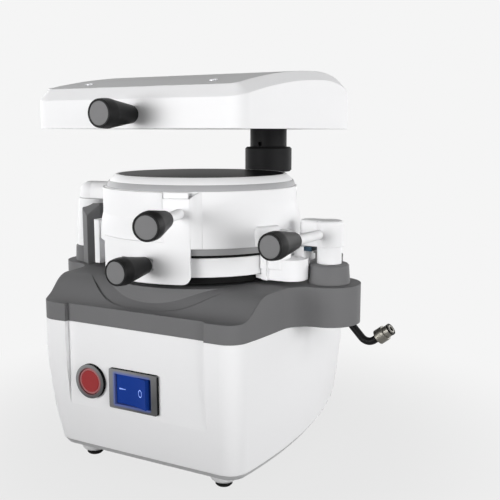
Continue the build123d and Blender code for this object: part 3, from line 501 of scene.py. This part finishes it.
class FORMER_OT_rear_trim(bpy.types.Operator):
    """Screws and pins of the mains inlet, ribs of the fuse cap"""
    bl_idname = "former.rear_trim"
    bl_label = "Rear trim"

    def execute(self, context):
        low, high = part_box("mains_inlet")
        middle = (low + high) / 2
        reach, sunk = 19.8 * MM, 0.1 * MM
        spots = [(middle.x + side * reach, high.y - sunk, middle.z) for side in (-1, 1)]
        turns = [(-math.pi / 2, 0.0, 0.0)] * 2
        set_out("inlet_screws", screw_template(3.0 * MM, 0.8 * MM), spots, turns, "plated_steel",
                "base")
        self.pins(high.y, middle.x)
        self.fuse_cap()
        return {"FINISHED"}

    def pins(self, face, x):
        """Three flat contact blades with tapered ends, which stand in the socket behind its face."""
        socket_height = -150.0
        vertices, faces = [], []
        for dx, dz in ((-7.0, -2.0), (7.0, -2.0), (0.0, 2.0)):
            z = place(0, 0, socket_height + dz).z
            rings = []
            for depth, w, h in ((17.0, 1.08, 2.08), (3.4, 1.08, 2.08), (2.9, 0.6, 1.5)):
                corners = ((-w, -h), (w, -h), (w, h), (-w, h))
                rings.append([Vector((x + (dx + u) * MM, face - depth * MM, z + v * MM)) for u, v in corners])
            start = len(vertices)
            blade_vertices, blade_faces = ringed(rings)
            vertices += blade_vertices
            faces += [tuple(start + i for i in reversed(corners)) for corners in blade_faces]
        link_piece("inlet_pins", mesh_from("inlet_pins", vertices, faces, "plated_steel"), "base")

    def fuse_cap(self):
        """Ribs round the fuse cap."""
        low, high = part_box("fuse_holder")
        centre = Vector(((low.x + high.x) / 2, high.y, (low.z + high.z) / 2))
        count, rib_sides, cap_radius = 28, 6, 8.0
        rings = [[polar(radius, TURN * i / rib_sides, height) * MM for i in range(rib_sides)]
                 for height, radius in ((-2.9, 0.16), (-2.7, 0.34), (-0.6, 0.34), (-0.35, 0.16))]
        vertices, faces = ringed(rings)
        rib = bpy.data.meshes.new("fuse_rib")
        rib.from_pydata([tuple(v) for v in vertices], [], faces)
        spots = []
        for i in range(count):
            angle = TURN * i / count
            spots.append(centre + Vector((math.cos(angle), 0, math.sin(angle))) * cap_radius * MM)
        turns = [(-math.pi / 2, 0.0, 0.0)] * count
        set_out("fuse_cap_ribs", rib, spots, turns, "polyamide_black", "base")


class FORMER_OT_head_screws(bpy.types.Operator):
    """Two low screws in the crown of the heater head"""
    bl_idname = "former.head_screws"
    bl_label = "Head screws"

    def execute(self, context):
        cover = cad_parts["heater_cover"]
        depsgraph = bpy.context.evaluated_depsgraph_get()
        sunk = 0.05
        spots, turns = [], []
        for x in (-51.0, 51.0):
            hit, spot, normal, _ = cover.ray_cast(place(x, -66.5, 120.0), -UP, depsgraph=depsgraph)
            if not hit:
                raise RuntimeError("a head screw misses the cover")
            spots.append(spot - normal * sunk * MM)
            turns.append(tuple(normal.to_track_quat("Z", "Y").to_euler()))
        set_out("head_screws", screw_template(2.7 * MM, 0.7 * MM), spots, turns, "plated_steel",
                "heater_head")
        return {"FINISHED"}


class FORMER_OT_heater_guard(bpy.types.Operator):
    """Round wire guard under the heater"""
    bl_idname = "former.heater_guard"
    bl_label = "Heater guard"

    def execute(self, context):
        low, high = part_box("heater_grille")
        centre = (low + high) / 2
        radius = context.scene.former_sizes.wire_radius
        level = high.z - radius
        # Radii of the rings, in metres; the spokes run from the first to the last
        reaches = (0.0115, 0.022, 0.033, 0.044, 0.055, 0.0672, 0.0690)
        ring_sides, spokes = 96, 6
        vertices, edges = [], []

        def add_point(reach, angle):
            """Point of a wire's middle line."""
            vertices.append((centre.x + reach * math.cos(angle), centre.y + reach * math.sin(angle), level))

        for reach in reaches:
            start = len(vertices)
            for i in range(ring_sides):
                add_point(reach, TURN * i / ring_sides)
                edges.append((start + i, start + (i + 1) % ring_sides))
        for k in range(spokes):
            edges.append((len(vertices), len(vertices) + 1))
            for reach in (reaches[0], reaches[-1]):
                add_point(reach, TURN * k / spokes)
        seed = bpy.data.meshes.new("guard_lines")
        seed.from_pydata(vertices, edges, [])
        values = {"Wire radius": radius, "Sides": 10, "Material": finish("heat_tinted_wire")}
        mesh = grown("guard_wire", seed, wire_tree(), values)
        mesh.shade_smooth()
        link_piece("guard_wire", mesh, "heater_head", ("heater_grille",))
        return {"FINISHED"}


class FORMER_OT_heating_button(bpy.types.Operator):
    """Button cap with its clear rim"""
    bl_idname = "former.heating_button"
    bl_label = "Heating button"

    def execute(self, context):
        low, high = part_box("heating_button")
        centre = Vector(((low.x + high.x) / 2, high.y, (low.z + high.z) / 2))
        front = (high.y - low.y) / MM
        sides = 72
        rim = [(9.3, 0.0), (9.5, 0.2), (9.5, front - 0.9), (9.3, front - 0.35), (8.9, front - 0.1),
               (8.3, front - 0.02), (7.95, front - 0.15), (7.95, front - 1.8)]
        rim_mesh = mesh_from("button_rim", *ringed(lathed(rim, sides, centre, TO_FRONT)), "moulded_red_rim", True)
        link_piece("button_rim", rim_mesh, "button", ("heating_button",))
        cap = [(7.9, front - 1.6), (7.9, front - 0.3), (7.7, front - 0.06), (7.2, front), (5.0, front - 0.12),
               (2.5, front - 0.2), (0.4, front - 0.22)]
        cap_mesh = mesh_from("button_cap", *ringed(lathed(cap, sides, centre, TO_FRONT)), "moulded_red", True)
        link_piece("button_cap", cap_mesh, "button")
        return {"FINISHED"}


class FORMER_OT_surrounds(bpy.types.Operator):
    """Soft black surrounds behind the switch's and the button's bezels"""
    bl_idname = "former.surrounds"
    bl_label = "Bezel surrounds"

    def execute(self, context):
        self.switch()
        self.button()
        return {"FINISHED"}

    def switch(self):
        """Black frame round the switch bezel, a little wider than it."""
        low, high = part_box("switch_bezel")
        centre = (low + high) / 2
        half_w, half_h = (high.x - low.x) / 2, (high.z - low.z) / 2
        corner = 1.6 * MM
        rings = []
        for depth, proud in ((2.5, 0.12), (0.7, 0.12), (0.35, 0.06), (0.3, -0.2), (2.5, -0.2)):
            out = proud * MM
            rings.append(self.rounded(centre, half_w + out, half_h + out, corner + out, low.y + depth * MM))
        mesh = mesh_from("switch_surround", *looped(rings), "gasket_black")
        link_piece("switch_surround", mesh, "base")

    def rounded(self, centre, half_w, half_h, radius, y):
        """Ring of a rounded rectangle in the front plane."""
        ring = []
        for cx, cz, start in ((1, 1, 0), (-1, 1, 90), (-1, -1, 180), (1, -1, 270)):
            for i in range(7):
                angle = math.radians(start + 15 * i)
                ring.append(Vector((centre.x + cx * (half_w - radius) + radius * math.cos(angle), y,
                                    centre.z + cz * (half_h - radius) + radius * math.sin(angle))))
        return ring

    def button(self):
        """Black ring round the button bezel."""
        low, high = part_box("button_bezel")
        centre = Vector(((low.x + high.x) / 2, low.y + 2.8 * MM, (low.z + high.z) / 2))
        r = (high.x - low.x) / 2 / MM
        profile = [(r - 0.3, 0.0), (r + 0.1, 0.0), (r + 0.1, 2.3), (r, 2.6), (r - 0.3, 2.6)]
        mesh = mesh_from("button_surround", *looped(lathed(profile, 72, centre, TO_FRONT)), "gasket_black")
        link_piece("button_surround", mesh, "base")


class FORMER_OT_chamber_rim(bpy.types.Operator):
    """Rim of the chamber as a bevelled crown over a satin band"""
    bl_idname = "former.chamber_rim"
    bl_label = "Chamber rim"

    def execute(self, context):
        sides = 160
        crown = [(57.0, -9.0), (69.0, -9.0), (69.4, -4.9), (69.2, -4.4), (64.9, -0.35), (64.3, 0.0), (63.1, 0.0),
                 (62.75, -0.35), (62.75, -4.6), (57.0, -4.6)]
        band = [(68.6, -9.0), (71.5, -9.0), (71.5, -8.6), (70.4, -5.3), (69.9, -4.8), (68.6, -4.8)]
        crown_mesh = mesh_from("rim_crown", *looped(lathed(crown, sides, DATUM, UP)), "enamel_white")
        # The band's grey finish is painted shade under the crown
        band_mesh = mesh_from("rim_band", *looped(lathed(band, sides, DATUM, UP)), "anodised_light_grey")
        for mesh in (crown_mesh, band_mesh):
            round_shading(mesh)
        link_piece("rim_crown", crown_mesh, "chamber", ("chamber_rim",))
        link_piece("rim_band", band_mesh, "chamber")
        return {"FINISHED"}


class FORMER_OT_bracket_flank(bpy.types.Operator):
    """Sloped flank that runs from the front bracket's right edge down to the chamber's flank"""
    bl_idname = "former.bracket_flank"
    bl_label = "Bracket flank"

    def execute(self, context):
        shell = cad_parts["chamber_shell"]
        depsgraph = bpy.context.evaluated_depsgraph_get()

        def reach(degrees, z):
            """Radius of the chamber's flank at an angle and a height in mm."""
            out = polar(1, math.radians(degrees))
            hit, spot, _, _ = shell.ray_cast(place(0, 0, z) + out * 0.12, -out, depsgraph=depsgraph)
            if not hit:
                raise RuntimeError("the flank misses the chamber")
            return Vector((spot.x - DATUM.x, spot.y - DATUM.y)).length / MM

        columns, rows = 9, 14
        start, end = -64.3, -58.0
        top_at_start, top_rise, rise_share, foot = -13.35, 4.0, 0.65, -47.3
        highest_cast, lowest_cast = -9.6, -46.9
        bracket_face, proud, sunk = 77.55, 0.03, 0.8
        rings = []
        for i in range(rows + 1):
            outer, inner = [], []
            for k in range(columns + 1):
                t = k / columns
                degrees = start + (end - start) * t
                top = top_at_start + top_rise * min(1.0, t / rise_share)
                z = top + (foot - top) * i / rows
                base = reach(degrees, max(min(z, highest_cast), lowest_cast))
                ease = t * t * (3 - 2 * t)
                radius = bracket_face + (base + proud - bracket_face) * ease
                angle = math.radians(degrees)
                outer.append(place(*polar(radius, angle, z)))
                inner.append(place(*polar(base - sunk, angle, z)))
            rings.append(outer + inner[::-1])
        mesh = mesh_from("bracket_flank", *ringed(rings), "enamel_white")
        round_shading(mesh)
        link_piece("bracket_flank", mesh, "chamber")
        return {"FINISHED"}


class FORMER_OT_jaw_shoulder(bpy.types.Operator):
    """Raised shoulder of the right jaw on the chamber's flank"""
    bl_idname = "former.jaw_shoulder"
    bl_label = "Jaw shoulder"

    def execute(self, context):
        start, end, low, high = -30.2, -15.0, -47.3, -33.6
        steps, eased_share = 20, 0.14
        inside, flank, proud = 74.6, 76.2, 3.4
        rings = []
        for i in range(steps + 1):
            t = i / steps
            angle = math.radians(start + (end - start) * t)
            lift = 1.0 - max(0.0, 1.0 - t / eased_share) ** 2
            out = flank + proud * lift
            top = high - 2.0 * (1.0 - lift)
            profile = [(inside, low), (out - 0.3, low), (out, low + 0.4), (out, top - 2.2), (out - 0.5, top - 1.0),
                       (out - 1.6, top - 0.2), (75.2, top), (inside, top)]
            rings.append([place(*polar(radius, angle, z)) for radius, z in profile])
        mesh = mesh_from("jaw_shoulder", *ringed(rings), "enamel_white")
        round_shading(mesh, 40)
        link_piece("jaw_shoulder", mesh, "chamber")
        return {"FINISHED"}


class FORMER_OT_hose_end(bpy.types.Operator):
    """Dark end ring on the hose fitting"""
    bl_idname = "former.hose_end"
    bl_label = "Hose end ring"

    def execute(self, context):
        fitting_axis = Vector((0.78724, 0, 0.61667))
        fitting_foot = place(144.5, 10.0, -110.6)
        profile = [(3.0, 5.6), (4.34, 5.6), (4.34, 6.7), (4.1, 6.9), (3.0, 6.9)]
        mesh = mesh_from("hose_end_ring", *looped(lathed(profile, 48, fitting_foot, fitting_axis)), "gasket_black")
        round_shading(mesh)
        link_piece("hose_end_ring", mesh, "base")
        return {"FINISHED"}


class FORMER_OT_lamp_glow(bpy.types.Operator):
    """Bezels with painted light: a painted glow in the colour of the lamp behind the control on their inner edge,
    and painted shading across them
    """
    bl_idname = "former.lamp_glow"
    bl_label = "Lamp glow"

    def execute(self, context):
        for bezel, (name, control, tint, reach_mm, is_round) in LIT_BEZELS.items():
            material = self.moulding_with_painted_light(name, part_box(control), tint, reach_mm, is_round)
            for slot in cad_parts[bezel].material_slots:
                slot.material = material
        return {"FINISHED"}

    def moulding_with_painted_light(self, name, opening, tint, reach_mm, is_round):
        """Satin grey ABS moulding with painted shading that makes it lighter at its upper left, and a painted lamp
        glow that tints it within a few mm of the opening.
        """
        low, high = opening
        material, tree = new_material(name)
        where = add_node(tree, "ShaderNodeTexCoord").outputs["Object"]
        off = add_node(tree, "ShaderNodeVectorMath", {"operation": "SUBTRACT"}, {0: where, 1: (low + high) / 2})
        flat = add_node(tree, "ShaderNodeVectorMath", {"operation": "MULTIPLY"}, {0: off.outputs[0], 1: (1, 0, 1)})
        half_x, half_z = (high.x - low.x) / 2, (high.z - low.z) / 2
        if is_round:
            length = add_node(tree, "ShaderNodeVectorMath", {"operation": "LENGTH"}, {0: flat.outputs[0]})
            gap = add_node(tree, "ShaderNodeMath", {"operation": "SUBTRACT"},
                           {0: length.outputs["Value"], 1: half_x})
            distance = gap.outputs[0]
        else:
            size = add_node(tree, "ShaderNodeVectorMath", {"operation": "ABSOLUTE"}, {0: flat.outputs[0]})
            past = add_node(tree, "ShaderNodeVectorMath", {"operation": "SUBTRACT"},
                            {0: size.outputs[0], 1: (half_x, 0, half_z)})
            kept = add_node(tree, "ShaderNodeVectorMath", {"operation": "MAXIMUM"},
                            {0: past.outputs[0], 1: (0, 0, 0)})
            length = add_node(tree, "ShaderNodeVectorMath", {"operation": "LENGTH"}, {0: kept.outputs[0]})
            distance = length.outputs["Value"]
        # Painted glow: the lamp's tint painted onto the moulding, strongest at the opening and gone at the reach
        near = add_node(tree, "ShaderNodeMapRange", {"interpolation_type": "SMOOTHSTEP"},
                        {"Value": distance, "From Min": 0.0, "From Max": reach_mm * MM,
                         "To Min": 0.9, "To Max": 0.0})
        # Painted shading: the moulding lighter towards its upper left and darker towards its lower right, from two
        # grey tones
        toward_painted_light = add_node(tree, "ShaderNodeVectorMath", {"operation": "DOT_PRODUCT"},
                         {0: off.outputs[0], 1: (-0.6, 0, 0.8)})
        light = add_node(tree, "ShaderNodeMapRange", None,
                         {"Value": toward_painted_light.outputs["Value"], "From Min": -half_x, "From Max": half_x,
                          "To Min": 0.0, "To Max": 1.0})
        plain = add_node(tree, "ShaderNodeMix", {"data_type": "RGBA"},
                         {"Factor": light.outputs["Result"], "A": linear("#565657"), "B": linear("#868687")})
        painted_glow_tone = add_node(tree, "ShaderNodeMix", {"data_type": "RGBA"},
                          {"Factor": near.outputs["Result"], "A": plain.outputs["Result"], "B": linear(tint)})
        grains_per_mm = 3
        noise = add_node(tree, "ShaderNodeTexNoise", None, {"Vector": where, "Scale": grains_per_mm / MM})
        eased = add_node(tree, "ShaderNodeBevel", {"samples": 4}, {"Radius": 0.4 * MM})
        bump = add_node(tree, "ShaderNodeBump", None,
                        {"Strength": 0.15, "Distance": 0.008 * MM, "Height": noise.outputs["Fac"],
                         "Normal": eased.outputs["Normal"]})
        shader = add_node(tree, "ShaderNodeBsdfPrincipled", None,
                          {"Base Color": painted_glow_tone.outputs["Result"], "Roughness": 0.45, "IOR": 1.2,
                           "Normal": bump.outputs["Normal"]})
        add_node(tree, "ShaderNodeOutputMaterial", None, {"Surface": shader.outputs["BSDF"]})
        return material


class FORMER_OT_rocker_marks(bpy.types.Operator):
    """Put the line and the circle on the rocker"""
    bl_idname = "former.rocker_marks"
    bl_label = "Rocker marks"

    def execute(self, context):
        sizes = context.scene.former_sizes
        self.make_marks(self.paint(sizes.mark_colour[:]), sizes.mark_width)
        return {"FINISHED"}

    def paint(self, colour):
        """Pad-printed paint over the lamp: pale blue, satin, with a faint grain."""
        material, tree = new_material("printed_mark_blue")
        where = add_node(tree, "ShaderNodeTexCoord").outputs["Object"]
        grains_per_mm = 4
        noise = add_node(tree, "ShaderNodeTexNoise", None, {"Vector": where, "Scale": grains_per_mm / MM})
        bump = add_node(tree, "ShaderNodeBump", None,
                        {"Strength": 0.2, "Distance": 0.005 * MM, "Height": noise.outputs["Fac"]})
        shader = add_node(tree, "ShaderNodeBsdfPrincipled", None,
                          {"Roughness": 0.4, "Base Color": colour, "Emission Color": colour,
                           "Emission Strength": 0.25, "Normal": bump.outputs["Normal"]})
        add_node(tree, "ShaderNodeOutputMaterial", None, {"Surface": shader.outputs["BSDF"]})
        return material

    def make_marks(self, material, width):
        """A line that narrows to the right, and a circle, each following the rocker's bent face."""
        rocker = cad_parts["power_rocker"]
        low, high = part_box("power_rocker")
        depsgraph = bpy.context.evaluated_depsgraph_get()
        middle_x, middle_z = (low.x + high.x) / 2, (low.z + high.z) / 2
        proud, sunk = 0.00012, -0.0002

        def on_face(x, z, lift):
            """Point at a distance in front of the rocker's face."""
            hit, spot, normal, _ = rocker.ray_cast(Vector((x, low.y - 0.02, z)), -TO_FRONT, depsgraph=depsgraph)
            if not hit:
                raise RuntimeError("a mark misses the rocker")
            return spot + normal * lift

        def strip(name, pairs, make_faces):
            """Thin band whose two edges follow pairs of (x, z) points on the face."""
            sections = [[on_face(*first, proud), on_face(*second, proud), on_face(*second, sunk),
                         on_face(*first, sunk)] for first, second in pairs]
            link_piece(name, mesh_from(name, *make_faces(sections), material), "rocker")

        left, length, steps = middle_x - 0.0118, 0.0056, 8
        line = []
        for i in range(steps + 1):
            x, half = left + length * i / steps, width * (0.9 - 0.09 * i)
            line.append(((x, middle_z - half), (x, middle_z + half)))
        strip("rocker_mark_line", line, ringed)
        # The circle is printed taller than wide
        centre_x, inner, wide, tall, points = middle_x + 0.0076, 0.0017, 0.85, 1.25, 40
        outer = inner + 0.75 * width
        circle = []
        for i in range(points):
            angle = TURN * i / points
            circle.append([(centre_x + radius * wide * math.cos(angle), middle_z + radius * tall * math.sin(angle))
                           for radius in (inner, outer)])
        strip("rocker_mark_circle", circle, looped)


class FORMER_OT_stage(bpy.types.Operator):
    """Floor, backdrop, light and camera"""
    bl_idname = "former.stage"
    bl_label = "Stage"

    def execute(self, context):
        sizes = context.scene.former_sizes
        self.floor(sizes.backdrop_colour[:])
        self.world(sizes.backdrop_colour[:])
        self.area("front_lamp", (-420, -1150, 90), (1.4, 0.50), sizes.front_power, 56.0, 95.0)
        self.area("side_lamp", (1200, -150, 90), (1.4, 0.56), sizes.side_power)
        self.area("rear_lamp", (-1250, 250, 260), (1.2, 0.7), sizes.rear_power)
        self.area("back_lamp", (650, 1200, 200), (1.2, 0.7), 0.8 * sizes.rear_power)
        self.camera()
        context.scene.view_settings.view_transform = "Standard"
        return {"FINISHED"}

    def floor(self, colour):
        """Large pale floor: the camera sees the backdrop's colour, darker only where the object shades it."""
        half = 8.0
        shade_from, shade_to, shade_share = 0.10, 0.34, 0.15
        mesh = bpy.data.meshes.new("floor")
        mesh.from_pydata([(-half, -half, 0), (half, -half, 0), (half, half, 0), (-half, half, 0)], [],
                         [(0, 1, 2, 3)])
        floor = bpy.data.objects.new("floor", mesh)
        bpy.context.scene.collection.objects.link(floor)
        material, tree = new_material("studio_floor")
        path = add_node(tree, "ShaderNodeLightPath")
        where = add_node(tree, "ShaderNodeTexCoord")
        reach = add_node(tree, "ShaderNodeVectorMath", {"operation": "LENGTH"}, {0: where.outputs["Object"]})
        near = add_node(tree, "ShaderNodeMapRange", {"interpolation_type": "SMOOTHSTEP"},
                        {"Value": reach.outputs["Value"], "From Min": shade_from, "From Max": shade_to,
                         "To Min": shade_share, "To Max": 0.0})
        matt = add_node(tree, "ShaderNodeBsdfDiffuse", None, {"Color": linear("#808080")})
        glow = add_node(tree, "ShaderNodeEmission", None, {"Color": colour, "Strength": 1.0})
        seen = add_node(tree, "ShaderNodeMath", {"operation": "MAXIMUM"},
                        {0: path.outputs["Is Camera Ray"], 1: path.outputs["Is Glossy Ray"]})
        both = add_node(tree, "ShaderNodeMath", {"operation": "MAXIMUM"},
                        {0: seen.outputs[0], 1: path.outputs["Is Transmission Ray"]})
        part = add_node(tree, "ShaderNodeMath", {"operation": "SUBTRACT"}, {0: 1.0, 1: near.outputs["Result"]})
        share = add_node(tree, "ShaderNodeMath", {"operation": "MULTIPLY"},
                         {0: both.outputs[0], 1: part.outputs[0]})
        mix = add_node(tree, "ShaderNodeMixShader", None,
                       {0: share.outputs[0], 1: matt.outputs[0], 2: glow.outputs[0]})
        add_node(tree, "ShaderNodeOutputMaterial", None, {"Surface": mix.outputs[0]})
        mesh.materials.append(material)

    def world(self, colour):
        """Soft light that comes from the sides more than from above; seen directly, the backdrop's colour."""
        world = bpy.data.worlds.new("studio")
        bpy.context.scene.world = world
        world.use_nodes = True
        tree = world.node_tree
        tree.nodes.clear()
        path = add_node(tree, "ShaderNodeLightPath")
        where = add_node(tree, "ShaderNodeTexCoord")
        height = add_node(tree, "ShaderNodeSeparateXYZ", None, {0: where.outputs["Generated"]})
        fall = add_node(tree, "ShaderNodeMapRange", None,
                        {"Value": height.outputs["Z"], "From Min": 0.1, "From Max": 0.8,
                         "To Min": 0.16, "To Max": 0.04})
        soft = add_node(tree, "ShaderNodeBackground", None, {"Color": (1, 1, 1, 1), "Strength": fall.outputs[0]})
        seen = add_node(tree, "ShaderNodeBackground", None, {"Color": colour, "Strength": 1.0})
        direct = add_node(tree, "ShaderNodeMath", {"operation": "MAXIMUM"},
                          {0: path.outputs["Is Camera Ray"], 1: path.outputs["Is Transmission Ray"]})
        either = add_node(tree, "ShaderNodeMath", {"operation": "MAXIMUM"},
                          {0: direct.outputs[0], 1: path.outputs["Is Glossy Ray"]})
        mix = add_node(tree, "ShaderNodeMixShader", None,
                       {0: either.outputs[0], 1: soft.outputs[0], 2: seen.outputs[0]})
        add_node(tree, "ShaderNodeOutputWorld", None, {"Surface": mix.outputs[0]})

    def area(self, name, where, size, power, spread=180.0, aim_z=-60.0):
        """Large soft lamp that looks at a height in mm; a narrower spread makes it fall off round there."""
        data = bpy.data.lights.new(name, "AREA")
        data.shape = "RECTANGLE"
        data.size, data.size_y = size
        data.energy = power
        data.spread = math.radians(spread)
        lamp = bpy.data.objects.new(name, data)
        bpy.context.scene.collection.objects.link(lamp)
        spot = place(*where)
        aim = place(0, 0, aim_z) - spot
        lamp.matrix_world = Matrix.Translation(spot) @ aim.to_track_quat("-Z", "Y").to_matrix().to_4x4()

    def camera(self):
        """Camera at the photograph's place, found from the window's circle and the upright edges."""
        yaw, pitch_down = 28.3, 8.92
        data = bpy.data.cameras.new("camera")
        data.lens = 54.58
        data.sensor_width = 36.0
        data.clip_end = 50.0
        camera = bpy.data.objects.new("camera", data)
        bpy.context.scene.collection.objects.link(camera)
        camera.location = place(308.5, -494.9, 31.5)
        camera.rotation_euler = Euler((math.radians(90 - pitch_down), 0.0, math.radians(yaw)))
        bpy.context.scene.camera = camera


class FORMER_PT_panel(bpy.types.Panel):
    """Panel that lists the steps and sizes"""
    bl_idname = "FORMER_PT_panel"
    bl_label = "Pressure former"
    bl_space_type = "VIEW_3D"
    bl_region_type = "UI"
    bl_category = "Former"

    def draw(self, context):
        sizes = context.scene.former_sizes
        for name in FormerSizes.__annotations__:
            self.layout.prop(sizes, name)
        for operator in OPERATORS:
            self.layout.operator(operator.bl_idname)


OPERATORS = (
    FORMER_OT_finishes, FORMER_OT_cap_screws, FORMER_OT_rear_trim, FORMER_OT_head_screws,
    FORMER_OT_heater_guard, FORMER_OT_heating_button, FORMER_OT_surrounds, FORMER_OT_chamber_rim,
    FORMER_OT_bracket_flank, FORMER_OT_jaw_shoulder, FORMER_OT_hose_end, FORMER_OT_lamp_glow,
    FORMER_OT_rocker_marks, FORMER_OT_stage)
CLASSES = (FormerSizes, *OPERATORS, FORMER_PT_panel)


def register():
    """Register the classes and attach the sizes to the scene."""
    for cls in CLASSES:
        bpy.utils.register_class(cls)
    bpy.types.Scene.former_sizes = bpy.props.PointerProperty(type=FormerSizes)


def unregister():
    """Undo register."""
    del bpy.types.Scene.former_sizes
    for cls in reversed(CLASSES):
        bpy.utils.unregister_class(cls)


def main():
    """Dress the frame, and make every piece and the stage."""
    register()
    bpy.ops.former.finishes()
    bpy.ops.former.cap_screws()
    bpy.ops.former.rear_trim()
    bpy.ops.former.head_screws()
    bpy.ops.former.heater_guard()
    bpy.ops.former.heating_button()
    bpy.ops.former.surrounds()
    bpy.ops.former.chamber_rim()
    bpy.ops.former.bracket_flank()
    bpy.ops.former.jaw_shoulder()
    bpy.ops.former.hose_end()
    bpy.ops.former.lamp_glow()
    bpy.ops.former.rocker_marks()
    bpy.ops.former.stage()


if __name__ == "__main__":
    main()
